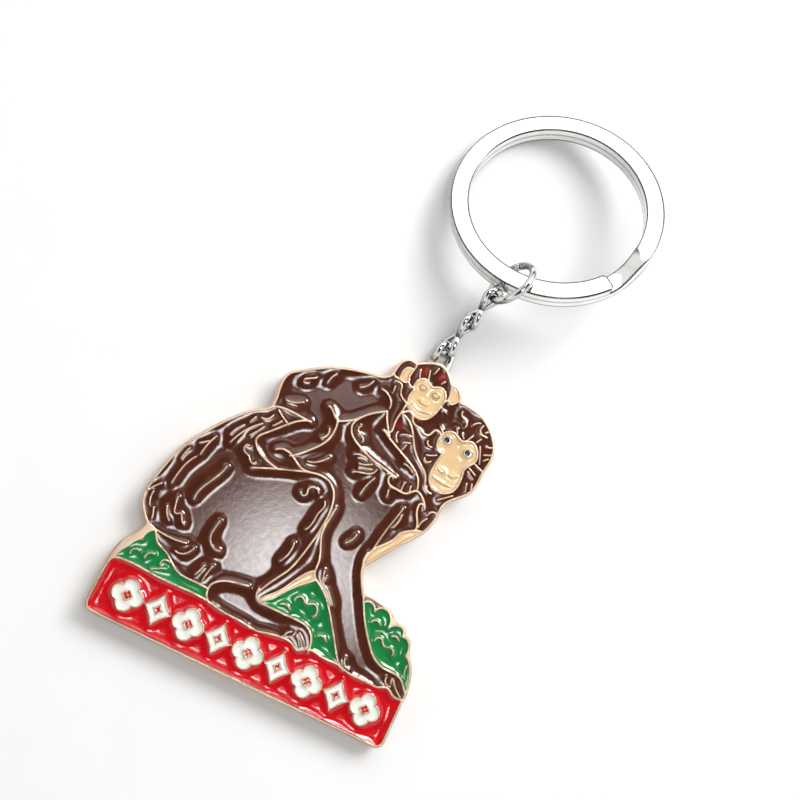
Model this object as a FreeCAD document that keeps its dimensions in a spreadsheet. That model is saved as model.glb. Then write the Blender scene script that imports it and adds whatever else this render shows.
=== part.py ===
"""Souvenir key ring: an enamelled die-cast charm, three twisted chain links, a jump ring and a split ring.

The charm lies face up with its flat back on z = 0. X runs along the banner, Y up the charm, and the
origin is in the middle of the back. Millimetres throughout.
"""

import FreeCAD
import Part

import math
import os

from FreeCAD import Placement, Rotation, Vector

UP = Vector(0, 0, 1)
ORIGIN = Vector(0, 0, 0)

doc = FreeCAD.newDocument("keychain")

# ---------------------------------------------------------------- driving dimensions

DIMENSIONS = [
    # the cast plate, its recesses and the enamel poured into them
    ("plate_thick", 3.2),
    ("rim_width", 0.38),
    ("outline_width", 0.31),
    ("hair_width", 0.26),
    ("recess_depth", 0.45),
    ("enamel_thick", 0.3),
    ("centre_u", 21.7),
    ("centre_v", 24.0),
    # the nine ornaments of the banner
    ("ornament_first_u", 4.2),
    ("ornament_pitch", 4.37),
    ("ornament_v", 3.65),
    ("ornament_size", 4.3),
    ("ornament_line", 0.24),
    # the lug that holds the chain, sunk in a pocket behind the top edge
    ("lug_u", 28.2),
    ("lug_v", 48.05),
    ("lug_axis_height", 1.17),
    ("lug_width", 0.8),
    ("lug_bore_radius", 0.62),
    ("pocket_width", 4.6),
    ("pocket_depth", 2.3),
    ("pocket_below", 2.4),
    # the chain
    ("link_wire", 1.0),
    ("link_width", 4.1),
    ("link_length", 7.4),
    ("link_corner", 1.05),
    ("butt_gap", 0.06),
    ("link_play", 0.1),
    ("link_far_twist", 45.0),
    ("link_turn", 90.0),
    ("link_1_side", -0.3),
    ("link_1_drop", 0.3),
    ("link_2_side", 0.0),
    ("link_2_drop", 0.1),
    ("link_3_side", -0.1),
    ("link_3_drop", 0.2),
    ("link_3_far_twist", 28.0),
    ("link_1_heading", 88.0),
    ("link_1_rise", 2.8),
    ("link_2_heading", 76.9),
    ("link_2_rise", 28.0),
    ("link_3_heading", 76.6),
    ("link_3_rise", 36.0),
    # the jump ring between the chain and the split ring
    ("jump_wire", 1.1),
    ("jump_outside", 8.0),
    ("jump_heading", 61.3),
    ("jump_rise", 25.0),
    ("jump_roll", -60.0),
    ("jump_butt_at", 140.0),
    # the split ring: two turns of flat wire
    ("ring_outside", 31.0),
    ("ring_band", 2.55),
    ("ring_turn", 1.2),
    ("ring_gap", 0.04),
    ("ring_joggle", 36.0),
    ("ring_joggle_roll", 24.0),
    ("ring_tip_radius", 0.7),
    ("ring_lean", 17.8),
    ("ring_lean_heading", 147.8),
    ("ring_hang", -95.1),
    ("ring_tip_at", -38.0),
    ("ring_band_offset", -0.1),
]

sheet = doc.addObject("Spreadsheet::Sheet", "sizes")
for row, (alias, value) in enumerate(DIMENSIONS, start=1):
    sheet.set(f"A{row}", alias)
    sheet.set(f"B{row}", str(value))
    sheet.setAlias(f"B{row}", alias)
doc.recompute()


def size(alias):
    """A driving dimension, read from the sheet."""
    return float(sheet.get(alias))


# ---------------------------------------------------------------- the drawing on the charm
# All in millimetres from the banner's lower left corner: first along the banner, then up the charm.
# Each run is a smooth line through its points; a corner is where one run ends and the next begins.

SILHOUETTE = [
    [(0.85, -0.25), (42.35, -0.25)],
    [(42.35, -0.25), (43.16, 0.09), (43.5, 0.9)],
    [(43.5, 0.9), (43.5, 6.6)],
    [(43.5, 6.6), (43.6, 7.5), (43.4, 9.0), (43.0, 10.6), (42.3, 11.9), (41.6, 12.8)],
    [(41.6, 12.8), (41.3, 13.7), (40.8, 14.6), (40.0, 15.0)],
    [(40.0, 15.0), (39.4, 15.8), (38.5, 16.1), (37.6, 16.2)],
    [(37.6, 16.2), (36.6, 17.0), (35.0, 17.3), (33.5, 17.5), (32.35, 17.35)],
    [(32.35, 17.35), (31.6, 18.6), (31.0, 19.8), (30.75, 20.6)],
    [(30.75, 20.6), (32.3, 22.8), (33.5, 24.6), (35.0, 26.6), (36.4, 28.6), (37.0, 30.5), (37.1, 32.2)],
    [(37.1, 32.2), (37.4, 33.4), (38.6, 34.8), (39.7, 36.0), (40.3, 37.5), (40.4, 39.5), (40.7, 41.5),
     (40.4, 43.7), (39.0, 45.6), (37.0, 47.0), (35.0, 47.45), (33.1, 47.5)],
    [(33.1, 47.5), (32.7, 48.4), (31.9, 49.1), (30.9, 49.15)],
    [(30.9, 49.15), (30.1, 50.1), (28.6, 51.0), (27.0, 50.7), (25.0, 49.55)],
    [(25.0, 49.55), (24.1, 49.65), (23.1, 49.0), (22.65, 48.0), (22.5, 46.6)],
    [(22.5, 46.6), (21.9, 45.8), (20.0, 45.2), (17.0, 44.4), (14.0, 43.1), (11.0, 41.0), (9.6, 39.8),
     (9.2, 38.2), (9.5, 36.0), (9.55, 34.9), (9.2, 34.1)],
    [(9.2, 34.1), (7.6, 33.0), (5.3, 30.5), (3.0, 27.2), (1.2, 23.8), (0.35, 20.6), (-0.15, 17.6),
     (0.0, 15.6), (1.0, 14.0), (1.9, 13.0)],
    [(1.9, 13.0), (1.7, 12.0), (0.7, 10.6), (0.0, 9.0), (-0.3, 7.0)],
    [(-0.3, 7.0), (-0.3, 0.9)],
    [(-0.3, 0.9), (0.04, 0.09), (0.85, -0.25)],
]

# lines that part one colour or limb from the next
OUTLINES = {
    "banner_top": [
        [(-0.2, 7.2), (0.6, 7.4), (7.0, 7.4), (14.0, 7.4), (16.0, 7.05), (19.0, 6.95), (21.5, 6.75),
         (23.2, 7.15), (24.8, 7.4), (26.2, 7.35), (27.5, 6.8), (28.5, 7.4), (31.0, 7.4), (33.2, 7.4),
         (34.5, 7.1), (38.0, 7.0), (39.6, 7.1), (40.6, 7.5), (41.8, 6.95), (42.7, 6.8), (43.5, 7.1)],
        [(-0.05, 6.3), (0.26, 7.09), (1.02, 7.4)],
    ],
    "near_body": [
        [(0.0, 16.2), (0.6, 14.9), (2.0, 13.3), (3.4, 12.7), (4.5, 11.4), (5.9, 10.8), (7.3, 9.9),
         (8.8, 9.05), (10.5, 8.9), (13.2, 8.85)],
        [(17.8, 11.5), (16.0, 11.15), (14.2, 10.5), (13.2, 9.3), (13.4, 8.0), (14.1, 7.3)],
        [(11.0, 25.75), (13.5, 26.9), (16.5, 28.1), (19.0, 28.95), (20.9, 29.0), (22.3, 28.1), (23.1, 26.2),
         (23.2, 23.5), (22.9, 20.8), (22.4, 18.2), (21.7, 15.8), (20.5, 13.7), (19.8, 12.4), (19.3, 11.3)],
        [(19.25, 11.8), (19.3, 10.9), (19.7, 10.35), (20.4, 10.2), (22.0, 10.25), (24.0, 10.25), (26.0, 10.3),
         (27.6, 9.9), (28.5, 8.9), (28.8, 7.9), (28.9, 7.2)],
        [(24.8, 17.1), (23.9, 16.2), (22.6, 14.0), (21.3, 12.1), (20.4, 11.2), (19.9, 10.4)],
        [(25.6, 16.2), (24.6, 15.2), (22.6, 13.1), (21.7, 11.8), (20.6, 10.7), (20.1, 10.2)],
    ],
    "near_arm": [
        [(23.75, 26.0), (23.55, 24.0), (23.55, 22.0), (24.4, 19.9), (24.9, 18.3), (25.1, 16.7), (26.5, 15.7),
         (28.0, 14.5), (30.0, 12.0), (31.0, 10.6), (32.0, 9.2), (33.2, 7.7), (34.2, 7.0)],
        [(30.4, 22.6), (30.4, 21.0), (30.9, 19.8), (32.3, 17.2), (33.8, 14.5), (35.8, 11.8), (37.2, 10.4),
         (39.2, 9.6), (41.8, 9.35), (42.8, 8.4), (43.5, 7.6)],
    ],
    "bush_tops": [
        [(0.3, 7.3), (0.8, 8.6), (1.4, 9.5)],
        [(1.4, 9.5), (1.75, 10.3), (2.5, 10.9)],
        [(2.5, 10.9), (2.6, 11.8), (3.4, 12.7)],
        [(32.8, 16.2), (33.5, 16.75), (34.2, 16.6), (34.7, 15.9)],
        [(34.7, 15.9), (35.2, 16.6), (36.2, 16.75), (37.0, 16.2), (37.4, 14.7)],
        [(37.4, 14.7), (38.0, 15.35), (38.9, 15.6), (39.7, 14.5)],
        [(39.7, 14.5), (40.6, 14.3), (41.2, 13.4), (41.2, 12.4)],
        [(41.2, 12.4), (42.3, 11.4), (42.9, 10.2), (43.3, 8.6)],
    ],
    "chest": [
        [(36.6, 28.4), (35.6, 28.4), (35.0, 28.2), (34.2, 27.7), (33.3, 27.0), (32.9, 26.0), (31.6, 24.2),
         (30.8, 23.2), (30.5, 21.6), (30.5, 20.7)],
    ],
    "small_monkey": [
        [(15.2, 35.1), (13.6, 34.2), (12.2, 32.7), (10.5, 30.8), (9.8, 29.6), (10.5, 28.5), (12.2, 27.6),
         (14.3, 27.2)],
        [(9.3, 34.3), (10.6, 34.9), (12.5, 35.1), (15.4, 35.05)],
        [(18.5, 37.1), (18.85, 35.6), (18.4, 33.5), (17.2, 31.8), (15.6, 30.1), (14.9, 29.6)],
        [(12.8, 29.5), (13.9, 30.0), (15.0, 29.8), (16.6, 28.95), (18.3, 28.8)],
        [(16.6, 38.2), (17.9, 37.4), (18.6, 37.0), (19.4, 37.3), (20.6, 38.1), (21.3, 38.9)],
        [(24.2, 41.3), (22.6, 40.2), (21.3, 38.8), (20.7, 37.2), (21.2, 36.2), (23.0, 35.1), (25.5, 34.25),
         (27.5, 33.9), (29.3, 33.5)],
        [(25.0, 38.8), (27.2, 37.6), (29.8, 36.5), (32.0, 35.1), (32.8, 33.4)],
        [(29.4, 33.6), (28.5, 33.2), (28.8, 32.4), (30.3, 32.15), (31.6, 32.2), (32.8, 33.2), (34.0, 32.7),
         (34.9, 31.4)],
        [(26.1, 42.1), (27.7, 42.5), (28.2, 41.6), (29.2, 41.3), (30.3, 40.9), (31.0, 41.1), (31.4, 41.9),
         (32.6, 41.8)],
        [(26.1, 42.0), (27.3, 41.7), (28.3, 40.9), (29.2, 39.6), (30.2, 38.1), (31.7, 36.8), (33.1, 35.5),
         (33.6, 34.3), (34.8, 33.8)],
        [(26.15, 44.3), (26.05, 42.0), (25.9, 40.2), (26.0, 39.1), (24.9, 38.7)],
        [(24.2, 41.3), (24.8, 40.1), (26.0, 38.4)],
    ],
    "big_head": [
        [(33.9, 39.7), (33.2, 39.7), (32.6, 40.4), (32.5, 41.3), (33.1, 42.6), (34.3, 43.0), (35.6, 42.5),
         (37.0, 43.0), (38.2, 42.2), (38.6, 40.8), (37.8, 39.4), (37.7, 38.2)],
        [(37.65, 38.7), (37.8, 37.0), (37.5, 35.6), (36.3, 34.6), (34.9, 34.5), (33.7, 35.5), (33.5, 37.2),
         (33.7, 38.6), (33.85, 39.8)],
        [(34.9, 27.9), (34.8, 29.3), (34.0, 30.9), (34.1, 31.9), (34.9, 31.5)],
    ],
    "small_head": [
        [(26.3, 45.7), (26.1, 46.3), (26.3, 47.4), (27.2, 48.0), (28.5, 47.45), (29.6, 47.9), (30.7, 47.3),
         (30.9, 46.2), (30.6, 44.8)],
        [(30.65, 45.2), (30.3, 43.8), (29.5, 42.8), (28.2, 42.5), (26.9, 43.0), (26.2, 44.0), (26.1, 45.0),
         (26.35, 45.8)],
        [(25.0, 49.6), (25.1, 48.6), (24.9, 47.2), (25.3, 46.3), (26.2, 46.1)],
        [(31.0, 49.2), (31.2, 47.9), (31.3, 46.9), (30.9, 46.3)],
        [(24.0, 46.2), (23.75, 47.4), (24.2, 48.3), (25.05, 48.3)],
        [(22.6, 46.6), (23.2, 46.3), (24.0, 46.25), (24.6, 46.2), (25.1, 46.8)],
        [(31.3, 47.2), (31.9, 46.45), (32.6, 47.2), (32.9, 48.0)],
    ],
}

# raised hairs inside one colour
HAIRS = [
    # rump and heel
    [(3.2, 12.8), (4.5, 12.7), (6.5, 12.7), (7.9, 12.95)],
    [(9.1, 12.8), (8.6, 11.9), (8.0, 11.45), (7.1, 11.4)],
    [(11.3, 11.3), (11.1, 10.5), (10.8, 9.8)],
    [(12.4, 11.8), (12.15, 10.8), (12.0, 9.5)],
    [(10.5, 17.5), (10.3, 16.2), (10.45, 14.8), (11.2, 14.0), (12.3, 13.95)],
    [(4.1, 17.9), (4.35, 16.6), (4.9, 15.8), (5.3, 16.1), (5.9, 15.5), (6.5, 15.0)],
    [(3.4, 16.2), (3.9, 15.2), (4.5, 14.6)],
    [(1.3, 18.5), (0.7, 17.8), (0.2, 17.0)],
    [(0.9, 17.1), (0.95, 16.2), (1.3, 15.3)],
    [(1.9, 15.2), (2.2, 14.5), (2.4, 13.8)],
    # flank and back
    [(2.5, 24.4), (2.2, 23.5), (2.1, 22.6)],
    [(3.7, 23.7), (3.0, 22.3), (2.65, 20.8), (2.5, 19.2)],
    [(4.8, 27.2), (4.4, 26.2), (4.2, 25.2), (4.1, 24.3)],
    [(3.3, 25.6), (4.3, 26.4)],
    [(8.0, 24.4), (7.6, 23.0), (7.1, 21.9), (6.4, 20.5), (6.1, 18.6)],
    [(9.4, 28.3), (8.9, 27.7), (9.4, 27.2), (10.0, 27.0), (10.4, 26.5), (11.2, 26.7)],
    [(7.5, 30.5), (6.8, 29.5), (6.4, 28.5)],
    [(9.6, 31.8), (8.6, 30.8), (7.7, 29.5), (7.2, 28.4), (6.9, 27.6)],
    [(10.0, 31.5), (9.3, 30.3), (8.8, 29.6)],
    [(8.4, 32.2), (8.0, 31.3)],
    [(9.1, 32.5), (9.8, 32.6), (10.4, 33.5)],
    [(11.8, 33.3), (11.4, 32.7), (11.0, 32.2)],
    [(17.4, 30.0), (18.5, 30.4), (19.1, 30.9), (19.8, 31.7)],
    # thigh
    [(18.4, 25.8), (19.3, 25.95), (19.2, 26.7), (19.5, 27.1), (20.7, 26.8)],
    [(22.0, 26.1), (22.2, 25.3), (21.9, 24.4), (21.8, 23.2), (21.3, 21.6)],
    [(20.7, 19.3), (20.8, 18.2), (20.6, 17.3), (20.1, 16.3)],
    # foot
    [(25.0, 7.7), (25.2, 8.2), (25.7, 8.6)],
    [(26.7, 8.95), (27.4, 8.5), (28.1, 7.7)],
    [(26.5, 8.4), (27.0, 8.0), (27.4, 7.4)],
    # arm and hand
    [(26.1, 17.8), (26.3, 16.9), (26.6, 16.2), (27.4, 15.8), (28.2, 15.1), (29.1, 14.1)],
    [(26.75, 17.1), (26.7, 16.4)],
    [(33.8, 8.6), (33.9, 8.0), (34.9, 7.5)],
    [(40.0, 8.7), (40.2, 8.0), (41.0, 7.8)],
    [(41.1, 8.7), (41.9, 7.8), (42.9, 7.1)],
    [(27.9, 24.1), (27.6, 23.1), (27.0, 22.4)],
    [(26.7, 32.0), (26.25, 31.0), (26.0, 30.0), (25.9, 29.2)],
    [(29.2, 31.5), (29.4, 30.6)],
    [(32.15, 30.2), (31.8, 28.4), (31.4, 26.8), (31.1, 25.2), (30.8, 23.2)],
    [(32.4, 29.3), (32.35, 28.2), (32.05, 27.2)],
    [(22.7, 33.8), (23.6, 34.15), (24.7, 34.0)],
    [(23.9, 33.0), (24.7, 33.2), (25.6, 33.7)],
    [(24.1, 32.5), (25.9, 33.05)],
    [(23.6, 31.5), (24.8, 32.0), (25.9, 32.4), (26.5, 33.3)],
    [(35.2, 28.8), (35.3, 29.6), (35.8, 30.4)],
    [(35.7, 31.0), (36.1, 31.6), (36.9, 31.5)],
    # small one's back, shoulder and arm
    [(30.8, 32.3), (30.75, 33.4)],
    [(31.8, 33.4), (32.0, 32.4)],
    [(29.6, 35.8), (30.4, 35.7), (31.2, 35.25)],
    [(21.8, 37.7), (21.9, 36.9), (22.5, 36.6), (23.0, 35.9)],
    [(18.1, 35.4), (18.2, 34.4), (17.6, 33.7)],
    [(10.7, 34.5), (11.8, 33.8), (12.9, 33.3)],
    [(11.0, 36.2), (12.4, 36.5), (13.3, 37.1)],
    [(20.6, 44.1), (20.1, 43.2), (19.4, 42.6)],
    [(15.6, 42.7), (15.2, 42.0), (15.0, 41.0)],
    [(13.3, 40.9), (12.5, 40.4), (11.9, 39.9), (12.7, 39.7)],
    [(23.3, 45.7), (24.6, 45.3), (24.8, 44.5), (25.6, 43.9), (26.2, 43.6)],
    [(23.7, 45.1), (23.8, 44.3)],
    [(22.2, 43.8), (23.5, 43.4), (24.2, 42.6), (24.35, 41.9)],
    # between the heads
    [(27.4, 39.25), (28.2, 39.65), (28.9, 39.75)],
    [(28.2, 38.5), (29.1, 38.8)],
    [(26.8, 39.3), (27.0, 38.5), (27.4, 38.1)],
    [(28.5, 37.5), (28.7, 38.3)],
    [(31.2, 40.2), (31.5, 39.75), (32.1, 39.7)],
    [(31.9, 38.4), (32.5, 38.6), (33.2, 39.0)],
    [(31.8, 37.9), (32.3, 37.5), (32.8, 37.8)],
    # the big head's mane
    [(33.9, 46.2), (34.3, 45.6), (34.95, 45.3), (35.2, 44.5)],
    [(36.1, 45.3), (36.5, 45.8), (37.0, 46.0)],
    [(37.5, 45.9), (37.4, 45.0), (38.7, 44.6)],
    [(38.2, 45.1), (38.7, 45.6)],
    [(39.1, 43.5), (39.6, 43.45), (40.1, 43.8)],
    [(39.3, 42.15), (40.3, 42.6)],
    [(39.6, 41.4), (40.1, 41.9)],
    [(34.2, 43.8), (34.6, 43.1)],
    [(35.2, 43.5), (35.7, 42.9)],
    [(36.3, 43.0), (36.7, 43.8)],
    [(37.6, 43.3), (38.0, 44.0)],
    [(38.3, 43.0), (38.8, 41.9), (39.25, 40.7)],
    [(38.4, 40.5), (39.4, 40.15), (40.3, 39.9)],
    [(38.2, 39.5), (39.4, 39.0)],
    [(38.2, 39.0), (39.3, 38.3)],
    [(38.8, 37.4), (39.1, 36.2)],
    [(39.5, 37.7), (39.7, 36.9)],
    [(31.0, 45.4), (31.9, 45.0)],
    [(32.0, 42.9), (32.6, 42.3)],
    [(33.8, 34.5), (34.15, 33.9), (34.8, 33.85)],
    [(36.0, 33.4), (36.8, 34.1), (37.7, 34.9)],
    # the small head's hair
    [(25.9, 48.9), (26.1, 48.2), (26.4, 47.5)],
    [(27.2, 49.4), (27.4, 48.6), (27.6, 48.0)],
    [(28.2, 50.3), (28.0, 49.4)],
    [(29.5, 48.5), (29.85, 49.0)],
    # leaves
    [(2.0, 8.6), (2.05, 9.2), (2.9, 9.4)],
    [(3.9, 8.9), (4.1, 9.6), (4.8, 9.85)],
    [(6.1, 9.0), (6.2, 9.6), (7.2, 9.8)],
    [(5.3, 7.9), (6.2, 8.45), (7.1, 8.85)],
    [(24.2, 12.5), (25.0, 13.3), (25.9, 12.8), (26.9, 13.2), (27.6, 12.5), (27.4, 11.6)],
    [(22.7, 11.2), (23.4, 11.5), (24.2, 11.1)],
    [(29.1, 9.6), (29.7, 9.9), (30.4, 9.5)],
    [(34.9, 14.4), (35.4, 14.9), (36.2, 14.6)],
    [(38.3, 13.9), (38.8, 14.1), (39.4, 13.8)],
    [(36.4, 12.4), (37.2, 13.0), (37.9, 12.3), (38.8, 12.45), (39.5, 11.7)],
    [(41.9, 11.2), (42.0, 10.2), (42.3, 9.6)],
    # faces
    [(34.1, 37.6), (34.6, 37.3), (35.2, 37.3)],
    [(36.1, 37.3), (36.7, 37.3), (37.1, 37.6)],
    [(34.0, 36.1), (35.5, 35.85), (37.1, 35.95)],
    [(27.7, 44.9), (28.3, 44.65), (28.9, 44.9)],
    [(27.0, 43.9), (28.3, 43.5), (29.7, 43.8)],
]

# centres and half sizes of the big face's eyes, with white and pupil, and of the small face's, plain ovals
EYES = [(33.7, 41.6), (37.15, 41.3)]
EYE_HALF = (0.75, 0.6)
PUPIL_RADIUS = 0.4
PUPIL_SIDE = 0.1
EYE_LINE = 0.14
SMALL_EYES = [(27.35, 46.75), (29.5, 46.55)]
SMALL_EYE_HALF = (0.5, 0.36)

# one point inside each cell that isn't the big monkey's fur
CELLS = {
    "banner_red": [(1.0, 1.0)],
    "bush_left_green": [(5.0, 8.3), (9.0, 8.2)],
    "bush_middle_green": [(25.5, 14.5), (29.8, 8.4)],
    "bush_right_green": [(36.0, 15.5), (38.0, 11.5)],
    "far_leg_skin": [(23.0, 14.0)],
    "chest_skin": [(33.0, 25.0)],
    "big_face_skin": [(35.5, 39.0)],
    "small_face_skin": [(28.4, 46.0), SMALL_EYES[0], SMALL_EYES[1]],
    "left_ear_skin": [(24.4, 47.4)],
    "right_ear_skin": [(31.9, 47.9)],
    "small_monkey_fur": [(15.0, 39.0), (25.0, 36.5), (27.0, 49.6), (23.4, 48.0)],
}
BARE_METAL = [(1.5, 10.6), (34.0, 16.8), (37.8, 15.6)]


def spline(points):
    """A smooth line through the points; two points make a straight one."""
    ends = [Vector(u, v, 0) for u, v in points]
    if len(ends) == 2:
        return Part.LineSegment(*ends)
    curve = Part.BSplineCurve()
    curve.interpolate(ends)
    return curve


def stroke(points, width):
    """The face of a line of even width, with round ends."""
    curve = spline(points)
    step = 0.55
    count = max(3, int(curve.length() / step) + 2)
    first, last = curve.FirstParameter, curve.LastParameter
    left, right = [], []
    for i in range(count):
        at = first + (last - first) * i / (count - 1)
        along = curve.tangent(at)[0]
        side = Vector(-along.y, along.x, 0) * (width / 2)
        left.append(curve.value(at) + side)
        right.append(curve.value(at) - side)
    start = curve.value(first) - curve.tangent(first)[0] * (width / 2)
    end = curve.value(last) + curve.tangent(last)[0] * (width / 2)
    left_side = Part.BSplineCurve()
    left_side.interpolate(left)
    right_side = Part.BSplineCurve()
    right_side.interpolate(right[::-1])
    edges = [
        left_side.toShape(),
        Part.Arc(left[-1], end, right[-1]).toShape(),
        right_side.toShape(),
        Part.Arc(right[0], start, left[0]).toShape(),
    ]
    face = Part.Face(Part.Wire(edges))
    if not face.isValid():
        print("stroke not valid:", points[0], points[-1])
    return face


def ellipse(centre, half):
    """A flat oval face."""
    curve = Part.Ellipse(Vector(centre[0], centre[1], 0), half[0], half[1])
    return Part.Face(Part.Wire(curve.toShape()))


def quatrefoil(u, v, reach, grow):
    """Four round petals about a centre; grow moves the whole outline outwards."""
    petal = 0.5 * reach
    petals = []
    for quarter in range(4):
        angle = math.radians(90 * quarter)
        centre = Vector(u, v, 0) + Vector(math.cos(angle), math.sin(angle), 0) * (reach - petal)
        petals.append(Part.Face(Part.Wire(Part.Circle(centre, UP, petal + grow).toShape())))
    return petals[0].multiFuse(petals[1:]).removeSplitter()


def star(u, v, reach, grow):
    """A four-pointed star with hollow sides."""
    centre = Vector(u, v, 0)
    hollow = 0.14
    tips = []
    for quarter in range(4):
        angle = math.radians(90 * quarter)
        wide = 0.86 if quarter % 2 == 0 else 1.0
        towards = Vector(math.cos(angle), math.sin(angle), 0)
        tips.append(centre + towards * (reach * wide + grow * 1.6))
    edges = []
    for quarter in range(4):
        first, second = tips[quarter], tips[(quarter + 1) % 4]
        middle = (first + second) * 0.5
        edges.append(Part.Arc(first, middle + (centre - middle) * hollow, second).toShape())
    return Part.Face(Part.Wire(edges))


def banner_ornaments():
    """The banner's row of nine, each ringed by a metal line inside and out.

    Gives the metal's face, the white cell and the red heart of each.
    """
    half_line = size("ornament_line") / 2
    reach = size("ornament_size") / 2
    heart = 0.3 * reach
    ornaments = []
    for place in range(9):
        u = size("ornament_first_u") + place * size("ornament_pitch")
        v = size("ornament_v")
        draw = quatrefoil if place % 2 == 0 else star
        outer = draw(u, v, reach, half_line)
        centre = draw(u, v, heart, half_line)
        white = draw(u, v, reach, -half_line).cut(centre)
        ornaments.append((outer, white, draw(u, v, heart, -half_line)))
    return ornaments


def silhouette_face():
    """The charm's outline."""
    return Part.Face(Part.Wire([spline(run).toShape() for run in SILHOUETTE]))


def draw_cells():
    """Cut every raised line out of the charm's face, and sort the cells that are left by colour."""
    lines = [stroke(run, 2 * size("rim_width")) for run in SILHOUETTE]
    for group in OUTLINES.values():
        lines += [stroke(run, size("outline_width")) for run in group]
    lines += [stroke(run, size("hair_width")) for run in HAIRS]

    cells = {name: [] for name in CELLS}
    cells["big_monkey_fur"] = []
    cells["ornament_white"] = []
    cells["eye_white"] = []
    cells["eye_black"] = []

    for outer, white, heart in banner_ornaments():
        lines.append(outer)
        cells["ornament_white"] += white.Faces
        cells["banner_red"] += heart.Faces
    for centre in EYES:
        inner_half = (EYE_HALF[0] - EYE_LINE, EYE_HALF[1] - EYE_LINE)
        pupil_at = Vector(centre[0] - PUPIL_SIDE, centre[1], 0)
        pupil = Part.Face(Part.Wire(Part.Circle(pupil_at, UP, PUPIL_RADIUS).toShape()))
        lines.append(ellipse(centre, EYE_HALF))
        cells["eye_white"] += ellipse(centre, inner_half).cut(pupil).Faces
        cells["eye_black"] += pupil.Faces
    for centre in SMALL_EYES:
        half = (SMALL_EYE_HALF[0] + EYE_LINE / 2, SMALL_EYE_HALF[1] + EYE_LINE / 2)
        hole = (SMALL_EYE_HALF[0] - EYE_LINE / 2, SMALL_EYE_HALF[1] - EYE_LINE / 2)
        lines.append(ellipse(centre, half).cut(ellipse(centre, hole)))

    left = silhouette_face().cut(lines)
    smallest = 0.1
    for face in left.Faces:
        if face.Area < smallest:
            continue
        owner = "big_monkey_fur"
        for name, points in CELLS.items():
            if any(face.isInside(Vector(u, v, 0), 0.001, True) for u, v in points):
                owner = name
        if any(face.isInside(Vector(u, v, 0), 0.001, True) for u, v in BARE_METAL):
            continue
        cells[owner].append(face)
    return cells


# ---------------------------------------------------------------- building blocks


def hold_shape(name, shape):
    """A helper object with a fixed shape."""
    thing = doc.addObject("Part::Feature", name)
    thing.Shape = shape
    return thing


def extrude(name, base, height):
    """The base face drawn up by a height given as an expression."""
    block = doc.addObject("Part::Extrusion", name)
    block.Base = base
    block.DirMode = "Custom"
    block.Dir = UP
    block.Solid = True
    block.setExpression("LengthFwd", height)
    return block


def bind(thing, **expressions):
    """Tie an object's properties to the sheet."""
    for prop, expression in expressions.items():
        thing.setExpression(prop.replace("_", "."), expression)
    return thing


def cut(name, base, tool):
    """base less tool."""
    result = doc.addObject("Part::Cut", name)
    result.Base = base
    result.Tool = tool
    return result


def charm_place():
    """Moves the drawing's corner so that the origin is in the middle of the back."""
    return Placement(Vector(-size("centre_u"), -size("centre_v"), 0), Rotation())


subparts = []


def add_subpart(thing, label):
    thing.Label = label
    subparts.append(thing)
    return thing


# ---------------------------------------------------------------- the charm


def back_lug():
    """The pocket behind the top edge, and the bored lug cast in it that takes the first link."""
    pocket = doc.addObject("Part::Box", "pocket")
    reach = 8
    bind(
        pocket,
        Length="sizes.pocket_width",
        Width=f"sizes.pocket_below + {reach}",
        Height="sizes.pocket_depth",
        Placement_Base_x="sizes.lug_u - sizes.pocket_width / 2",
        Placement_Base_y="sizes.lug_v - sizes.pocket_below",
    )
    web = doc.addObject("Part::Box", "lug_web")
    bind(
        web,
        Length="sizes.lug_width",
        Width="4 * sizes.lug_bore_radius",
        Height="sizes.pocket_depth",
        Placement_Base_x="sizes.lug_u - sizes.lug_width / 2",
        Placement_Base_y="sizes.lug_v - 2 * sizes.lug_bore_radius",
    )
    bore = doc.addObject("Part::Cylinder", "lug_bore")
    bore.Placement = Placement(ORIGIN, Rotation(Vector(0, 1, 0), 90))
    bind(
        bore,
        Radius="sizes.lug_bore_radius",
        Height="3 * sizes.lug_width",
        Placement_Base_x="sizes.lug_u - 1.5 * sizes.lug_width",
        Placement_Base_y="sizes.lug_v",
        Placement_Base_z="sizes.lug_axis_height",
    )
    return pocket, cut("lug", web, bore)


def build_charm():
    """The cast plate, and one solid or group of solids for each colour of enamel in it."""
    cells = draw_cells()
    floor = size("plate_thick") - size("recess_depth")
    at_floor = Placement(Vector(0, 0, floor), Rotation())

    faces = []
    for name, found in cells.items():
        cell_faces = Part.makeCompound(found)
        cell_faces.Placement = at_floor
        enamel = extrude(f"{name}_pour", hold_shape(f"{name}_cells", cell_faces), "sizes.enamel_thick")
        enamel.Placement = charm_place()
        add_subpart(enamel, f"enamel_{name}")
        faces += found

    all_cells = Part.makeCompound(faces)
    all_cells.Placement = at_floor
    recess = extrude("recess", hold_shape("recess_cells", all_cells), "2 * sizes.recess_depth")
    blank = extrude("blank", hold_shape("charm_outline", silhouette_face()), "sizes.plate_thick")
    pocket, lug = back_lug()
    plate = doc.addObject("Part::Fuse", "plate")
    plate.Base = cut("pocketed", cut("recessed", blank, recess), pocket)
    plate.Tool = lug
    plate.Placement = charm_place()
    add_subpart(plate, "charm_plate")


# ---------------------------------------------------------------- the chain


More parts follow.
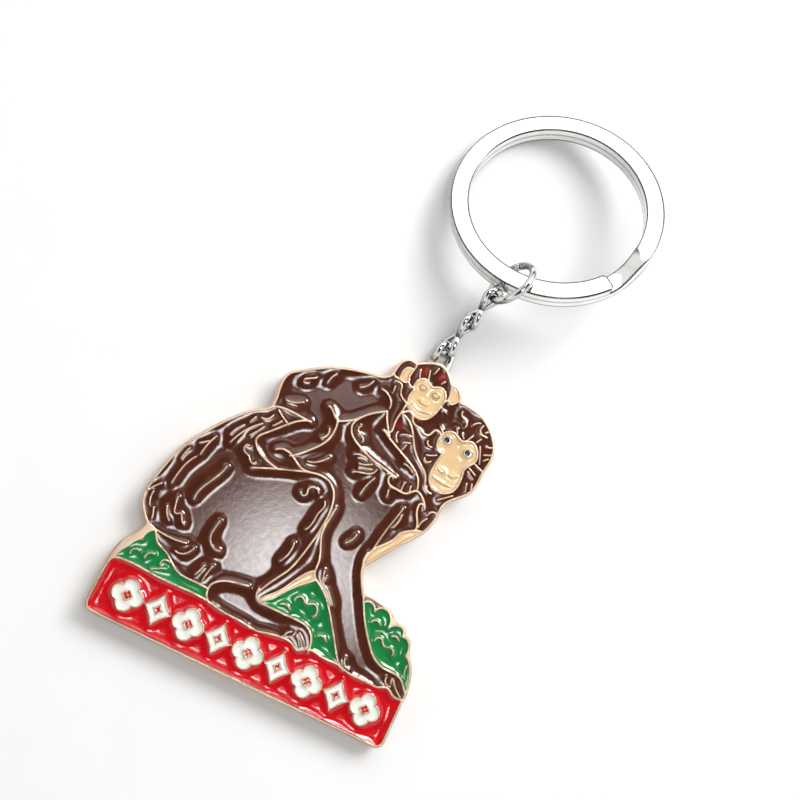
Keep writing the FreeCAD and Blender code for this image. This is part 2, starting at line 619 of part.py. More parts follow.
def rounded_loop(corners, radius):
    """A closed run of straight edges and tangent arcs, parted by the butt joint in its first side."""
    edges = []
    count = len(corners)
    tangent_points = []
    for i in range(count):
        before, here, after = corners[i - 1], corners[i], corners[(i + 1) % count]
        back = (before - here).normalize()
        ahead = (after - here).normalize()
        half_turn = (math.pi - back.getAngle(ahead)) / 2
        reach = radius * math.tan(half_turn)
        to_centre = (back + ahead).normalize() * (radius / math.cos(half_turn))
        middle = here + to_centre - (back + ahead).normalize() * radius
        tangent_points.append((here + back * reach, middle, here + ahead * reach))
    for i in range(count):
        start, middle, end = tangent_points[i]
        edges.append(Part.Arc(start, middle, end).toShape())
        next_start = tangent_points[(i + 1) % count][0]
        if i < count - 1:
            edges.append(Part.LineSegment(end, next_start).toShape())
        else:
            along = (next_start - end).normalize()
            half = (next_start - end).Length / 2 - size("butt_gap") / 2
            edges.insert(0, Part.LineSegment(next_start - along * half, next_start).toShape())
            edges.append(Part.LineSegment(end, end + along * half).toShape())
    return Part.Wire(edges)


def sweep_round(name, path, wire_diameter):
    """A round wire along a path, its diameter tied to the sheet."""
    start = path.OrderedVertexes[0].Point
    along = path.OrderedEdges[0].tangentAt(path.OrderedEdges[0].FirstParameter)
    spine = hold_shape(f"{name}_path", path)
    section = doc.addObject("Part::Circle", f"{name}_section")
    section.Placement = Placement(start, Rotation(UP, along))
    section.setExpression("Radius", f"sizes.{wire_diameter} / 2")
    tube = doc.addObject("Part::Sweep", name)
    tube.Sections = [section]
    tube.Spine = (spine, [f"Edge{i + 1}" for i in range(len(path.Edges))])
    tube.Solid = True
    tube.Frenet = False
    tube.Transition = "Right corner"
    return tube


def link_path(low_twist, high_twist):
    """A link's centre line: y runs from the wire of its near end to that of its far end."""
    half = (size("link_width") - size("link_wire")) / 2
    length = size("link_length") - size("link_wire")
    low = Rotation(Vector(0, 1, 0), low_twist)
    high = Rotation(Vector(0, 1, 0), high_twist)
    corners = [
        low.multVec(Vector(-half, 0, 0)),
        low.multVec(Vector(half, 0, 0)),
        high.multVec(Vector(half, 0, 0)) + Vector(0, length, 0),
        high.multVec(Vector(-half, 0, 0)) + Vector(0, length, 0),
    ]
    return rounded_loop(corners, size("link_corner"))


def aim(heading, rise):
    """Turns local Y to a heading in the XY plane and then up by a rise, keeping local X level."""
    return Rotation(UP, heading - 90) * Rotation(Vector(1, 0, 0), rise)


def build_chain():
    """Three links from the lug outwards; gives the point where the next ring hangs in the last."""
    at = charm_place().multVec(Vector(size("lug_u"), size("lug_v"), size("lug_axis_height")))
    step = size("link_length") - 2 * size("link_wire") - size("link_play")
    far_twist = size("link_far_twist")
    near_twist = far_twist + size("link_turn")
    twists = {1: (0.0, far_twist), 2: (near_twist, far_twist), 3: (near_twist, size("link_3_far_twist"))}
    for number, (near, far) in twists.items():
        turn = aim(size(f"link_{number}_heading"), size(f"link_{number}_rise"))
        link = sweep_round(f"link_{number}", link_path(near, far), "link_wire")
        link.Placement = Placement(at, turn)
        add_subpart(link, f"chain_link_{number}")
        # each link hangs a little to one side and low in the one before it
        side, drop = size(f"link_{number}_side"), size(f"link_{number}_drop")
        at = at + turn.multVec(Vector(side, step, -drop))
    return at


def build_jump_ring(bearing):
    """The round ring that the last link and the split ring hang in; gives its centre."""
    ring = doc.addObject("Part::Torus", "jump")
    bind(
        ring,
        Radius1="(sizes.jump_outside - sizes.jump_wire) / 2",
        Radius2="sizes.jump_wire / 2",
        Angle3="360 - 360 * sizes.butt_gap / (3.14159 * (sizes.jump_outside - sizes.jump_wire))",
    )
    reach = (size("jump_outside") - size("jump_wire")) / 2
    slack = (size("jump_wire") - size("link_wire")) / 2
    turn = aim(size("jump_heading"), size("jump_rise")) * Rotation(Vector(0, 1, 0), size("jump_roll"))
    centre = bearing + turn.multVec(Vector(0, reach - slack, 0))
    # the butt joint is turned clear of both neighbours
    ring.Placement = Placement(centre, turn * Rotation(UP, size("jump_butt_at")))
    add_subpart(ring, "jump_ring")
    return centre


def split_ring_path(out_from_middle):
    """Two turns about Z: a lower one, a joggle up, and an upper one that ends beside the joggle.

    The wire rolls a little as it rises, so its outer edge, which this also draws, leads its middle."""
    radius = (size("ring_outside") - size("ring_band")) / 2
    level = (size("ring_turn") + size("ring_gap")) / 2
    joggle = math.radians(size("ring_joggle"))
    most_roll = math.radians(size("ring_joggle_roll"))

    def at(angle, height, roll=0.0):
        reach = radius + out_from_middle * math.cos(roll)
        lift = out_from_middle * math.sin(roll)
        return Vector(reach * math.cos(angle), reach * math.sin(angle), height + lift)

    turn_end = 2 * math.pi - joggle
    lower = Part.Arc(at(0, -level), at(turn_end / 2, -level), at(turn_end, -level))
    rise = Part.BSplineCurve()
    steps = 12
    points = []
    for i in range(steps + 1):
        part_way = i / steps
        height = -level * math.cos(math.pi * part_way)
        roll = most_roll * math.sin(math.pi * part_way) ** 2
        points.append(at(turn_end + joggle * part_way, height, roll))
    tangents = [Vector(-math.sin(turn_end), math.cos(turn_end), 0), Vector(0, 1, 0)]
    rise.interpolate(Points=points, InitialTangent=tangents[0], FinalTangent=tangents[1])
    upper = Part.Arc(at(0, level), at(turn_end / 2, level), at(turn_end, level))
    return Part.Wire([lower.toShape(), rise.toShape(), upper.toShape()])


def build_split_ring(bearing):
    """The flat-wire key ring, leaning as it lies with one side on the table."""
    radius = (size("ring_outside") - size("ring_band")) / 2
    level = (size("ring_turn") + size("ring_gap")) / 2
    band, turn_thick = size("ring_band"), size("ring_turn")
    inside, outside = radius - band / 2, radius + band / 2
    bottom, top = -level - turn_thick / 2, -level + turn_thick / 2
    section = Part.makePolygon(
        [
            Vector(inside, 0, bottom),
            Vector(outside, 0, bottom),
            Vector(outside, 0, top),
            Vector(inside, 0, top),
            Vector(inside, 0, bottom),
        ]
    )
    sweep = Part.BRepOffsetAPI.MakePipeShell(split_ring_path(0.0))
    sweep.setAuxiliarySpine(split_ring_path(band / 2), False, 0)
    sweep.add(section)
    sweep.build()
    sweep.makeSolid()
    body = sweep.shape()
    cut_ends = sweep.firstShape().Edges + sweep.lastShape().Edges
    tips = [edge for edge in cut_ends if abs(edge.tangentAt(edge.FirstParameter).z) > 0.99]
    body = body.makeFillet(size("ring_tip_radius"), tips)

    ring = hold_shape("key_ring", body)
    lean = size("ring_lean")
    across = Rotation(UP, size("ring_lean_heading")).multVec(Vector(0, 1, 0))
    tilt = Rotation(across, lean)
    hang = size("ring_hang")
    outward = tilt.multVec(Rotation(UP, hang).multVec(Vector(1, 0, 0)))
    centre = bearing - outward * (radius - size("ring_band_offset"))
    ring.Placement = Placement(centre, tilt * Rotation(UP, size("ring_tip_at") + size("ring_joggle")))
    add_subpart(ring, "split_ring")


# ---------------------------------------------------------------- make, check and write


def check_all():
    """Stop on any object that failed to build, and on any sub-part that isn't a sound solid."""
    for thing in doc.Objects:
        if "Invalid" in thing.State or "Error" in thing.State:
            raise RuntimeError(f"{thing.Name} failed: {thing.State}")
    for thing in subparts:
        shape = thing.Shape
        if shape.isNull() or not shape.isValid() or not shape.Solids:
            raise RuntimeError(f"{thing.Label} has no sound solid")
        print(f"{thing.Label:28s} solids {len(shape.Solids):3d} volume {shape.Volume:9.2f}")


build_charm()
chain_end = build_chain()
jump_centre = build_jump_ring(chain_end)
build_split_ring(jump_centre)
doc.recompute()
check_all()

os.makedirs("parts", exist_ok=True)
for piece in subparts:
    piece.Shape.exportStep(os.path.join("parts", piece.Label + ".step"))
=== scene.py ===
"""Looks of the enamelled charm key ring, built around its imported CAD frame."""

import math

import bmesh
import bpy
import numpy as np
from mathutils import Euler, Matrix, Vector, kdtree
from mathutils.bvhtree import BVHTree
from mathutils.geometry import delaunay_2d_cdt


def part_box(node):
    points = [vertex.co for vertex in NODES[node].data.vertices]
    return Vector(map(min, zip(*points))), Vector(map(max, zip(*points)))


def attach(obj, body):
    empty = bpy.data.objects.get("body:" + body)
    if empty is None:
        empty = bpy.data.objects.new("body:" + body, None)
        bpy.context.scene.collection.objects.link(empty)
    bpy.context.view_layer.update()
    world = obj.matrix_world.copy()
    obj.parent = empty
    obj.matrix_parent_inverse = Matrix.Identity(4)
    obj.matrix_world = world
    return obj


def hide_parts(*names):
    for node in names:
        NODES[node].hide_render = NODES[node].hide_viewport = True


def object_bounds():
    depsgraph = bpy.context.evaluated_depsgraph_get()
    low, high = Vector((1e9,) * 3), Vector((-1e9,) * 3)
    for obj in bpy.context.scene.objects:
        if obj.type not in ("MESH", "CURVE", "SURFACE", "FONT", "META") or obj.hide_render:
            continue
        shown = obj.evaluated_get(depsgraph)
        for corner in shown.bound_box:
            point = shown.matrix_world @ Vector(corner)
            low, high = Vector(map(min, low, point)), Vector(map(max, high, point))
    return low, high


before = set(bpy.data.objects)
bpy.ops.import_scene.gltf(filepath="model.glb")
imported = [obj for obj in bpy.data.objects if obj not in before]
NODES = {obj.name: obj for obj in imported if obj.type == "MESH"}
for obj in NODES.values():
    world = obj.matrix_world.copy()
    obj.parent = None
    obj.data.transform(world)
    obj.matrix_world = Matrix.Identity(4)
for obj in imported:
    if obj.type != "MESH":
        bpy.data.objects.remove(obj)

CAD_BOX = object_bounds()
MM = 0.001

# heights on the charm, in millimetres
PLATE_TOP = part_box("charm_plate")[1].z / MM
METAL_EDGE_DROP = 0.09
ENAMEL_EDGE = PLATE_TOP - 0.10
ENAMEL_FLAT = PLATE_TOP - 0.42
FLATNESS = 0.004

ENAMEL_MATERIALS = {
    "enamel_banner_red": "red",
    "enamel_bush_left_green": "green",
    "enamel_bush_middle_green": "green",
    "enamel_bush_right_green": "green",
    "enamel_far_leg_skin": "skin",
    "enamel_chest_skin": "skin",
    "enamel_big_face_skin": "skin",
    "enamel_small_face_skin": "skin",
    "enamel_left_ear_skin": "skin",
    "enamel_right_ear_skin": "skin",
    "enamel_big_monkey_fur": "brown",
    "enamel_small_monkey_fur": "brown",
    "enamel_ornament_white": "white",
    "enamel_eye_white": "white",
    "enamel_eye_black": "black",
}

# how far each enamel creeps up the metal beside it, in millimetres
REACH = {"red": 0.95, "green": 1.0, "skin": 0.9, "brown": 1.35, "white": 0.7, "black": 0.5}

# where a relaxed surface gets its points, in millimetres: rows at distances in from the outline,
# then a grid of this step from so far in
ENAMEL_POINTS = {"offsets": (0.08, 0.19, 0.33, 0.5, 0.7), "grid_step": 0.21, "grid_from": 0.85}
METAL_POINTS = {"offsets": (0.05, 0.12, 0.3), "grid_step": 0.6, "grid_from": 0.5}

HARDWARE = ("chain_link_1", "chain_link_2", "chain_link_3", "jump_ring", "split_ring")

# brightness of the studio by height, as the sine of the angle above the horizon
SKY = [(0.06, 0.8), (0.10, 0.02), (0.18, 0.02), (0.30, 1.0), (0.62, 1.0), (0.80, 0.04)]
SKY_STRENGTH = 0.85


# ---------------------------------------------------------------- material building


def grey(value):
    return (value, value, value)


def set_stops(ramp, stops):
    """Fills a colour ramp node with (position, colour) stops, given from low to high."""
    elements = ramp.color_ramp.elements
    while len(elements) < len(stops):
        elements.new(0.5)
    for element, (position, colour) in zip(elements, stops):
        element.position = position
        element.color = (*colour, 1)


class Shader:
    """A node material with one Principled shader, built up by small calls."""

    def __init__(self, name, **settings):
        self.material = bpy.data.materials.new(name)
        self.material.use_nodes = True
        self.tree = self.material.node_tree
        self.shader = self.tree.nodes["Principled BSDF"]
        for socket, value in settings.items():
            self.shader.inputs[socket.replace("_", " ")].default_value = value
        coordinates = self.node("ShaderNodeTexCoord")
        self.place = coordinates.outputs["Object"]
        self.facing = coordinates.outputs["Normal"]

    def node(self, kind, **settings):
        made = self.tree.nodes.new(kind)
        for key, value in settings.items():
            setattr(made, key, value)
        return made

    def link(self, source, target):
        self.tree.links.new(source, target)

    def noise(self, per_mm, detail=3.0, stretch=(1, 1, 1)):
        """Noise with about so many features to the millimetre."""
        mapping = self.node("ShaderNodeMapping")
        mapping.inputs["Scale"].default_value = [s * per_mm / MM for s in stretch]
        self.link(self.place, mapping.inputs["Vector"])
        noise = self.node("ShaderNodeTexNoise")
        noise.inputs["Scale"].default_value = 1.0
        noise.inputs["Detail"].default_value = detail
        self.link(mapping.outputs["Vector"], noise.inputs["Vector"])
        return noise.outputs["Fac"]

    def ramp(self, source, stops):
        """Colours or greys along a source value."""
        ramp = self.node("ShaderNodeValToRGB")
        set_stops(ramp, stops)
        self.link(source, ramp.inputs["Fac"])
        return ramp.outputs["Color"]

    def fade(self, source, low, high, start=0.0, end=1.0, smooth=True):
        """Goes from start to end while the source goes from low to high."""
        fade = self.node("ShaderNodeMapRange")
        if smooth:
            fade.interpolation_type = "SMOOTHSTEP"
        fade.inputs["From Min"].default_value = low
        fade.inputs["From Max"].default_value = high
        fade.inputs["To Min"].default_value = start
        fade.inputs["To Max"].default_value = end
        self.link(source, fade.inputs["Value"])
        return fade.outputs["Result"]

    def upright(self, vector):
        """The z part of a vector."""
        split = self.node("ShaderNodeSeparateXYZ")
        self.link(vector, split.inputs["Vector"])
        return split.outputs["Z"]

    def mix(self, factor, first, second):
        """first where factor is 0 and second where it is 1."""
        mix = self.node("ShaderNodeMix", data_type="RGBA")
        self.link(factor, mix.inputs["Factor"])
        for value, socket in ((first, mix.inputs["A"]), (second, mix.inputs["B"])):
            if isinstance(value, tuple):
                socket.default_value = (*value, 1)
            else:
                self.link(value, socket)
        return mix.outputs["Result"]

    def bump(self, source, height_mm):
        bump = self.node("ShaderNodeBump")
        bump.inputs["Distance"].default_value = height_mm * MM
        bump.inputs["Strength"].default_value = 1.0
        self.link(source, bump.inputs["Height"])
        previous = self.shader.inputs["Normal"]
        if previous.is_linked:
            self.link(previous.links[0].from_socket, bump.inputs["Normal"])
        self.link(bump.outputs["Normal"], previous)

    def corners(self, radius_mm):
        """1 close to a sharp corner of the shape and 0 on its faces; it rounds the shading there too."""
        nearly_flat, flat_again = 0.985, 0.999
        rounded = self.node("ShaderNodeBevel", samples=8)
        rounded.inputs["Radius"].default_value = radius_mm * MM
        plain = self.node("ShaderNodeNewGeometry").outputs["Normal"]
        agree = self.node("ShaderNodeVectorMath", operation="DOT_PRODUCT")
        self.link(rounded.outputs["Normal"], agree.inputs[0])
        self.link(plain, agree.inputs[1])
        self.link(rounded.outputs["Normal"], self.shader.inputs["Normal"])
        return self.ramp(agree.outputs["Value"], [(nearly_flat, grey(1)), (flat_again, grey(0))])


def enamel(name, base, deep, speck, stains=()):
    """Fired soft enamel: glossy, a little uneven in colour, with fine specks and a faint orange peel.

    Stains are (place in mm, radius in mm, colour) where another colour was wiped into it."""
    speck_amount = 0.72
    stain_strength = 0.75
    paint = Shader(name, Roughness=0.13, Coat_Weight=0.6, Coat_Roughness=0.06, IOR=1.5)
    cloud = paint.noise(0.35, 4)
    colour = paint.ramp(cloud, [(0.35, deep), (0.65, base)])
    dots = paint.ramp(paint.noise(5.0, 2), [(speck_amount, grey(0)), (speck_amount + 0.06, grey(1))])
    colour = paint.mix(dots, colour, speck)
    for (x, y), radius, tint in stains:
        apart = paint.node("ShaderNodeVectorMath", operation="DISTANCE")
        apart.inputs[1].default_value = (x * MM, y * MM, PLATE_TOP * MM)
        paint.link(paint.place, apart.inputs[0])
        reach = radius * MM
        amount = paint.fade(apart.outputs["Value"], 0.5 * reach, 1.3 * reach, stain_strength, 0.0)
        colour = paint.mix(amount, colour, tint)
    paint.link(colour, paint.shader.inputs["Base Color"])
    smear = paint.ramp(paint.noise(1.1, 5), [(0.3, grey(0.09)), (0.75, grey(0.2))])
    paint.link(smear, paint.shader.inputs["Roughness"])
    paint.bump(paint.noise(1.6, 2), 0.012)
    paint.bump(paint.noise(7.0, 3), 0.0025)
    return paint.material


def rose_gold():
    """Copper-rose plating with fine wear, and painted shade: dark in the crease where the ridges leave the
    enamel.
    """
    painted_crease_shade = (0.16, 0.08, 0.045)
    metal = Shader("rose_gold_plate", Metallic=1.0)
    colour = metal.ramp(metal.noise(0.5, 5), [(0.3, (0.80, 0.57, 0.39)), (0.7, (0.91, 0.71, 0.53))])
    low, high = (PLATE_TOP - 4 * METAL_EDGE_DROP) * MM, PLATE_TOP * MM
    height = metal.fade(metal.upright(metal.place), low, high, smooth=False)
    # painted shade: the crease colour darkens a band of heights at the foot of the raised lines
    crease = metal.ramp(height, [(0.3, grey(0)), (0.6, grey(1)), (0.75, grey(1)), (0.9, grey(0))])
    metal.link(metal.mix(crease, colour, painted_crease_shade), metal.shader.inputs["Base Color"])
    wear = metal.ramp(metal.noise(3.0, 6), [(0.35, grey(0.34)), (0.7, grey(0.5))])
    metal.link(wear, metal.shader.inputs["Roughness"])
    metal.bump(metal.noise(6.0, 4), 0.006)
    return metal.material


def bright_nickel(name, clean, flank, facing, corner_mm=0.0):
    """Polished nickel plating with faint drawing marks.

    Its flanks and corners are tinted darker than its top. The tint stands in for the dark surroundings
    that bright metal mirrors there, and is not wear on the metal. Facing is the upward part of the
    surface's direction at which the flank tint is full and at which it has gone."""
    metal = Shader(name, Metallic=1.0)
    colour = metal.ramp(metal.noise(0.4, 3), [(0.3, tuple(0.92 * c for c in clean)), (0.7, clean)])
    colour = metal.mix(metal.fade(metal.upright(metal.facing), *facing), flank, colour)
    if corner_mm:
        corner_colour = tuple(0.14 * c for c in clean)
        colour = metal.mix(metal.corners(corner_mm), colour, corner_colour)
    metal.link(colour, metal.shader.inputs["Base Color"])
    wear = metal.ramp(metal.noise(2.5, 6), [(0.35, grey(0.07)), (0.75, grey(0.17))])
    metal.link(wear, metal.shader.inputs["Roughness"])
    metal.bump(metal.noise(4.0, 4, (1, 1, 4)), 0.002)
    return metal.material


def floor_paper():
    paper = Shader("floor_paper", Roughness=0.8)
    colour = paper.ramp(paper.noise(0.08, 3), [(0.3, grey(0.93)), (0.7, grey(0.95))])
    paper.link(colour, paper.shader.inputs["Base Color"])
    return paper.material


# ---------------------------------------------------------------- relaxed surfaces


def top_faces(mesh, height):
    """The upward faces at a height in mm, and their outline as directed edges with the face on their left."""
    level = height * MM
    tolerance = FLATNESS * MM
    faces = [
        list(p.vertices)
        for p in mesh.polygons
        if p.normal.z > 0.9 and all(abs(mesh.vertices[i].co.z - level) < tolerance for i in p.vertices)
    ]
    directed = set()
    for face in faces:
        for a, b in zip(face, face[1:] + face[:1]):
            directed.add((a, b))
    outline = [(a, b) for a, b in directed if (b, a) not in directed]
    return faces, outline


def inner_points(points, outline, inside, offsets, grid_step, grid_from):
    """Points for the middle of an area: rows at set distances in from its outline, then an even grid."""
    normals = np.zeros((len(points), 2))
    for a, b in outline:
        along = points[b] - points[a]
        length = np.hypot(*along)
        if length > 0:
            left = np.array((-along[1], along[0])) / length
            normals[a] += left
            normals[b] += left
    sizes = np.hypot(normals[:, 0], normals[:, 1])
    samples = []
    sample_step = 0.05
    for a, b in outline:
        count = max(1, int(np.hypot(*(points[b] - points[a])) / sample_step))
        for i in range(count):
            samples.append(points[a] + (points[b] - points[a]) * (i / count))
    tree = kdtree.KDTree(len(samples))
    for i, sample in enumerate(samples):
        tree.insert((*sample, 0), i)
    tree.balance()

    kept = []
    taken = {}

    def far_enough(point, gap):
        cell = (int(point[0] // gap), int(point[1] // gap))
        for i in (-1, 0, 1):
            for j in (-1, 0, 1):
                for other in taken.get((gap, cell[0] + i, cell[1] + j), ()):
                    if np.hypot(*(other - point)) < gap:
                        return False
        taken.setdefault((gap, *cell), []).append(point)
        return True

    along_step = 0.22
    for offset in offsets:
        gap = max(0.75 * offset, 0.05)
        for a, b in outline:
            run = points[b] - points[a]
            length = np.hypot(*run)
            if length == 0:
                continue
            left = np.array((-run[1], run[0])) / length
            count = max(1, round(length / max(along_step, offset)))
            for i in range(count):
                if i == 0 and sizes[a] > 0:
                    base, out = points[a], normals[a] / sizes[a]
                else:
                    base, out = points[a] + run * (i / count), left
                point = base + out * offset
                if tree.find((*point, 0))[2] > 0.88 * offset and inside(point) and far_enough(point, gap):
                    kept.append(point)
    low, high = points.min(0), points.max(0)
    row_step = 0.866 * grid_step
    rows = int((high[1] - low[1]) / row_step) + 1
    columns = int((high[0] - low[0]) / grid_step) + 2
    for row in range(rows):
        for column in range(columns):
            point = low + np.array(((column - 0.5 * (row % 2)) * grid_step, row * row_step))
            if inside(point) and tree.find((*point, 0))[2] > grid_from:
                kept.append(point)
    return kept


def settled_heights(places, triangles, on_edge, edge, flat, reach):
    """Heights of a liquid's skin held up at its outline, sagging evenly until it lies on the flat."""
    count = len(places)
    weights = {}
    area = np.zeros(count)
    for turn in range(3):
        i, j, k = triangles[:, turn], triangles[:, (turn + 1) % 3], triangles[:, (turn + 2) % 3]
        first, second = places[i] - places[k], places[j] - places[k]
        cross = np.abs(first[:, 0] * second[:, 1] - first[:, 1] * second[:, 0])
        cotangent = (first * second).sum(1) / np.maximum(cross, 1e-9)
        area += np.bincount(k, cross / 6, count)
        weights[turn] = (i, j, np.clip(0.5 * cotangent, 0, 20))
    i, j, w = (np.concatenate([weights[turn][part] for turn in range(3)]) for part in range(3))
    total = np.bincount(i, w, count) + np.bincount(j, w, count) + 1e-12
    load = area * 2 * (edge - flat) / reach**2
    low, high = min(edge, flat), max(edge, flat)
    height = np.where(on_edge, edge, flat)
    passes = 700
    for _ in range(passes):
        near = np.bincount(i, w * height[j], count) + np.bincount(j, w * height[i], count)
        height = np.where(on_edge, edge, np.clip((near - load) / total, low, high))
    return height


def relaxed_top(mesh, top, edge, flat, reach, offsets, grid_step, grid_from):
    """Swaps the flat top of a copied CAD mesh for a surface that leaves its outline at one height and
    settles to another within a reach, as a liquid's skin does. All in millimetres."""
    faces, outline = top_faces(mesh, top)
    used = sorted({i for a, b in outline for i in (a, b)})
    number = {v: i for i, v in enumerate(used)}
    points = np.array([mesh.vertices[v].co[:2] for v in used]) / MM
    edges = [(number[a], number[b]) for a, b in outline]
    flat_verts = [(v.co.x / MM, v.co.y / MM, 0.0) for v in mesh.vertices]
    cover = BVHTree.FromPolygons(flat_verts, faces)

    def inside(point):
        return cover.ray_cast(Vector((point[0], point[1], 1.0)), Vector((0, 0, -1)))[0] is not None

    middle = inner_points(points, edges, inside, offsets, grid_step, grid_from)
    all_points = [Vector(p) for p in points] + [Vector(p) for p in middle]
    out_points, _, triangles, origins, _, _ = delaunay_2d_cdt(all_points, edges, [], 0, 1e-7)
    places = np.array([(p.x, p.y) for p in out_points])
    kept = []
    for triangle in triangles:
        centre = places[list(triangle)].mean(0)
        if inside(centre):
            a, b, c = (places[i] for i in triangle)
            turn = (b[0] - a[0]) * (c[1] - a[1]) - (b[1] - a[1]) * (c[0] - a[0])
            if abs(turn) > 1e-9:
                kept.append(tuple(triangle) if turn > 0 else tuple(reversed(triangle)))

    on_edge = np.array([any(o < len(points) for o in group) for group in origins])
    height = settled_heights(places, np.array(kept), on_edge, edge, flat, reach)

    # build the mesh anew: the CAD walls and back, then the settled top
    bm = bmesh.new()
    bm.from_mesh(mesh)
    bm.verts.ensure_lookup_table()
    bm.faces.ensure_lookup_table()
    gone = {tuple(sorted(face)) for face in faces}
    for face in [f for f in bm.faces if tuple(sorted(v.index for v in f.verts)) in gone]:
        bm.faces.remove(face)
    for vert in bm.verts:
        if abs(vert.co.z / MM - top) < FLATNESS:
            vert.co.z = edge * MM
    surface = [bm.verts.new((x * MM, y * MM, z * MM)) for (x, y), z in zip(places, height)]
    for triangle in kept:
        bm.faces.new([surface[i] for i in triangle])
    bmesh.ops.remove_doubles(bm, verts=bm.verts, dist=0.0004 * MM)
    loose = [v for v in bm.verts if not v.link_faces]
    bmesh.ops.delete(bm, geom=loose, context="VERTS")
    return bm


def piece_from(bm, name, material, smooth_angle):
    """A new object from a bmesh, smooth but for edges sharper than an angle in degrees."""
    mesh = bpy.data.meshes.new(name)
    sharp = math.radians(smooth_angle)
    for face in bm.faces:
        face.smooth = True
    for edge in bm.edges:
        edge.smooth = not (len(edge.link_faces) == 2 and edge.calc_face_angle(0) > sharp)
    bm.to_mesh(mesh)
    bm.free()
    mesh.materials.append(material)
    thing = bpy.data.objects.new(name, mesh)
    bpy.context.scene.collection.objects.link(thing)
    return thing


def welded_copy(node):
    """A node's mesh with its doubled corner points joined."""
    mesh = NODES[node].data.copy()
    bm = bmesh.new()
    bm.from_mesh(mesh)
    bmesh.ops.remove_doubles(bm, verts=bm.verts, dist=0.0005 * MM)
    bm.to_mesh(mesh)
    bm.free()
    return mesh


def build_enamel(materials):
    """Each pour with its skin creeping up the metal round it."""
    for node, colour in ENAMEL_MATERIALS.items():
        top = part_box(node)[1].z / MM
        bm = relaxed_top(welded_copy(node), top, ENAMEL_EDGE, ENAMEL_FLAT, REACH[colour], **ENAMEL_POINTS)
        piece = piece_from(bm, node.replace("enamel_", "poured_"), materials[colour], 50)
        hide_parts(node)
        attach(piece, "charm")


def build_plate(metal):
    """The casting, with its raised lines and rim domed at their edges."""
    edge = PLATE_TOP - METAL_EDGE_DROP
    dome_width = 0.09
    bm = relaxed_top(welded_copy("charm_plate"), PLATE_TOP, edge, PLATE_TOP, dome_width, **METAL_POINTS)
    piece = piece_from(bm, "cast_plate", metal, 40)
    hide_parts("charm_plate")
    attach(piece, "charm")


def dress_hardware():
    """The chain and rings keep their CAD shapes and are plated."""
    wire = bright_nickel("nickel_wire", (0.93, 0.93, 0.92), (0.10, 0.10, 0.10), (0.12, 0.72))
    band = bright_nickel("nickel_band", (0.96, 0.945, 0.92), (0.62, 0.61, 0.60), (-0.6, 0.0), 0.42)
    for name in HARDWARE:
        thing = NODES[name]
        thing.data.materials.clear()
        thing.data.materials.append(band if name == "split_ring" else wire)
        for polygon in thing.data.polygons:
            polygon.use_smooth = True
        if name != "split_ring":
            weld = thing.modifiers.new("weld", "WELD")
            weld.merge_threshold = 0.0005 * MM


# ---------------------------------------------------------------- floor, light and camera


def fade_to_rim(light):
    """Makes an area light fade from its middle to nothing near its rim."""
    light.use_nodes = True
    tree = light.node_tree
    geometry = tree.nodes.new("ShaderNodeNewGeometry")
    centred = tree.nodes.new("ShaderNodeVectorMath")
    centred.operation = "MULTIPLY_ADD"
    centred.inputs[1].default_value = (2, 2, 0)
    centred.inputs[2].default_value = (-1, -1, 0)
    length = tree.nodes.new("ShaderNodeVectorMath")
    length.operation = "LENGTH"
    fade = tree.nodes.new("ShaderNodeMapRange")
    fade.interpolation_type = "SMOOTHSTEP"
    fade.inputs["From Min"].default_value = 0.05
    fade.inputs["From Max"].default_value = 0.82
    fade.inputs["To Min"].default_value = 1.0
    fade.inputs["To Max"].default_value = 0.0
    tree.links.new(geometry.outputs["Parametric"], centred.inputs[0])
    tree.links.new(centred.outputs[0], length.inputs[0])
    tree.links.new(length.outputs["Value"], fade.inputs["Value"])
    tree.links.new(fade.outputs["Result"], tree.nodes["Emission"].inputs["Strength"])


def area_light(name, place, aim, width, height, radiance, graded=False):
    """A soft box of a set brightness, either even or fading from its middle to its rim."""
    data = bpy.data.lights.new(name, "AREA")
    data.shape = "RECTANGLE"
    data.size, data.size_y = width, height
    data.energy = radiance * math.pi * width * height
    if graded:
        fade_to_rim(data)
    light = bpy.data.objects.new(name, data)
    light.location = place
    light.rotation_euler = (Vector(aim) - Vector(place)).to_track_quat("-Z", "Y").to_euler()
    bpy.context.scene.collection.objects.link(light)
    return light


def build_floor():
    low = CAD_BOX[0][2]
    half = 3.0
    mesh = bpy.data.meshes.new("floor")
    corners = [(-half, -half, low), (half, -half, low), (half, half, low), (-half, half, low)]
    mesh.from_pydata(corners, [], [(0, 1, 2, 3)])
    mesh.materials.append(floor_paper())
    floor = bpy.data.objects.new("floor", mesh)
    bpy.context.scene.collection.objects.link(floor)


def build_sky():
    """Bright walls round a dark ceiling, with a thin light line at the horizon."""
    world = bpy.data.worlds.new("studio")
    bpy.context.scene.world = world
    world.use_nodes = True
    tree = world.node_tree
    coordinates = tree.nodes.new("ShaderNodeTexCoord")
    split = tree.nodes.new("ShaderNodeSeparateXYZ")
    ramp = tree.nodes.new("ShaderNodeValToRGB")
    set_stops(ramp, [(height, grey(level)) for height, level in SKY])
    background = tree.nodes["Background"]
    background.inputs["Strength"].default_value = SKY_STRENGTH
    tree.links.new(coordinates.outputs["Generated"], split.inputs["Vector"])
    tree.links.new(split.outputs["Z"], ramp.inputs["Fac"])
    tree.links.new(ramp.outputs["Color"], background.inputs["Color"])


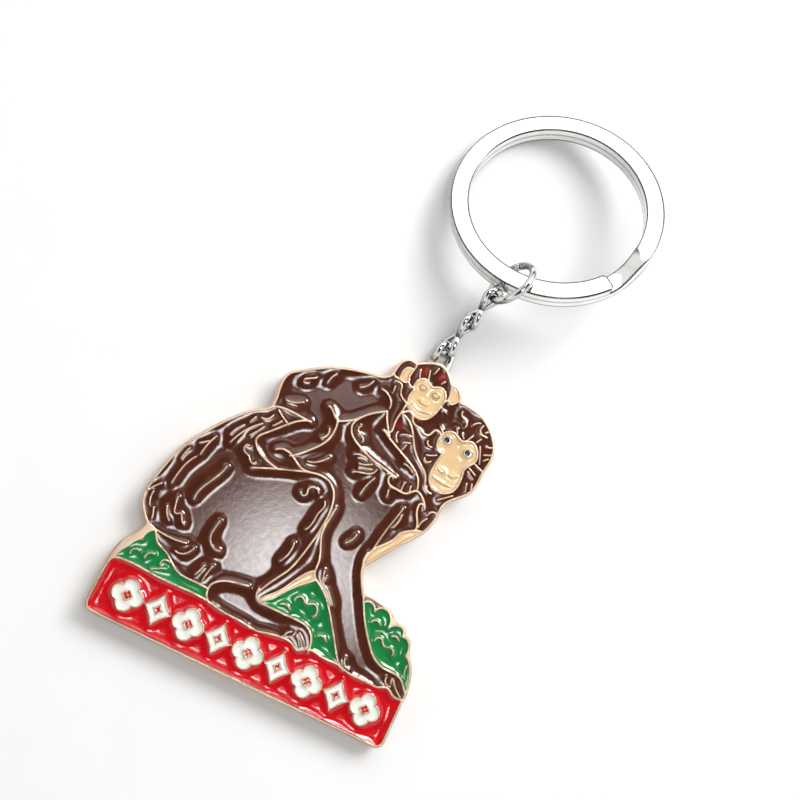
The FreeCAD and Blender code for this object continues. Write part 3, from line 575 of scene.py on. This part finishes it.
def build_lights():
    """Two glows that lie on the enamel as reflections, a key from the upper right and a fill from above.

    The key is two boxes at one place: a small bright one seen in shiny surfaces and a larger, even one
    that lights the matt colours and throws the shadow."""
    key_place = (0.18, 0.34, 0.40)
    area_light("overhead_glow", (0.034, 0.005, 0.30), (0.034, 0.005, 0.0), 0.12, 0.12, 15.0, True)
    area_light("shoulder_glow", (0.018, 0.085, 0.30), (0.018, 0.085, 0.0), 0.10, 0.10, 2.0, True)
    sparkle = area_light("key_box", key_place, (0, 0, 0), 0.26, 0.26, 40.0, True)
    sparkle.visible_diffuse = False
    soft_key = area_light("soft_key", key_place, (0, 0, 0), 0.30, 0.30, 8.7)
    soft_key.visible_glossy = False
    area_light("top_box", (-0.17, 0.42, 0.45), (0.01, 0.05, 0), 0.40, 0.34, 1.3)


def build_camera():
    data = bpy.data.cameras.new("camera")
    data.sensor_width = 36.0
    field = math.radians(38.0)
    data.lens = data.sensor_width / 2 / math.tan(field / 2)
    data.clip_start = 0.005
    camera = bpy.data.objects.new("camera", data)
    camera.location = (-0.016616, -0.016616, 0.160418)
    camera.rotation_euler = Euler([math.radians(a) for a in (8.4207, -12.1481, 25.9071)], "XYZ")
    bpy.context.scene.collection.objects.link(camera)
    bpy.context.scene.camera = camera


WIPED_RED = (0.26, 0.012, 0.012)
STAINS = [((4.8, 24.9), 0.75, WIPED_RED), ((7.5, 25.4), 0.75, WIPED_RED), ((5.1, 16.3), 0.6, WIPED_RED)]

# each enamel: its colour, the deeper colour of its clouds, the colour of its specks
MATERIALS = {
    "red": enamel("red_enamel", (0.66, 0.005, 0.011), (0.56, 0.004, 0.009), (0.8, 0.06, 0.06)),
    "green": enamel("green_enamel", (0.014, 0.24, 0.06), (0.009, 0.18, 0.042), (0.08, 0.33, 0.13)),
    "skin": enamel("skin_enamel", (0.86, 0.60, 0.33), (0.82, 0.55, 0.28), (0.95, 0.75, 0.5)),
    "brown": enamel("brown_enamel", (0.085, 0.020, 0.009), (0.065, 0.015, 0.007), (0.18, 0.08, 0.05), STAINS),
    "white": enamel("white_enamel", (0.92, 0.90, 0.83), (0.89, 0.86, 0.77), (0.8, 0.74, 0.62)),
    "black": enamel("black_enamel", (0.012, 0.011, 0.01), (0.008, 0.008, 0.008), (0.03, 0.03, 0.03)),
}

build_enamel(MATERIALS)
build_plate(rose_gold())
dress_hardware()
build_floor()
build_sky()
build_lights()
build_camera()

bpy.context.scene.view_settings.view_transform = "Standard"
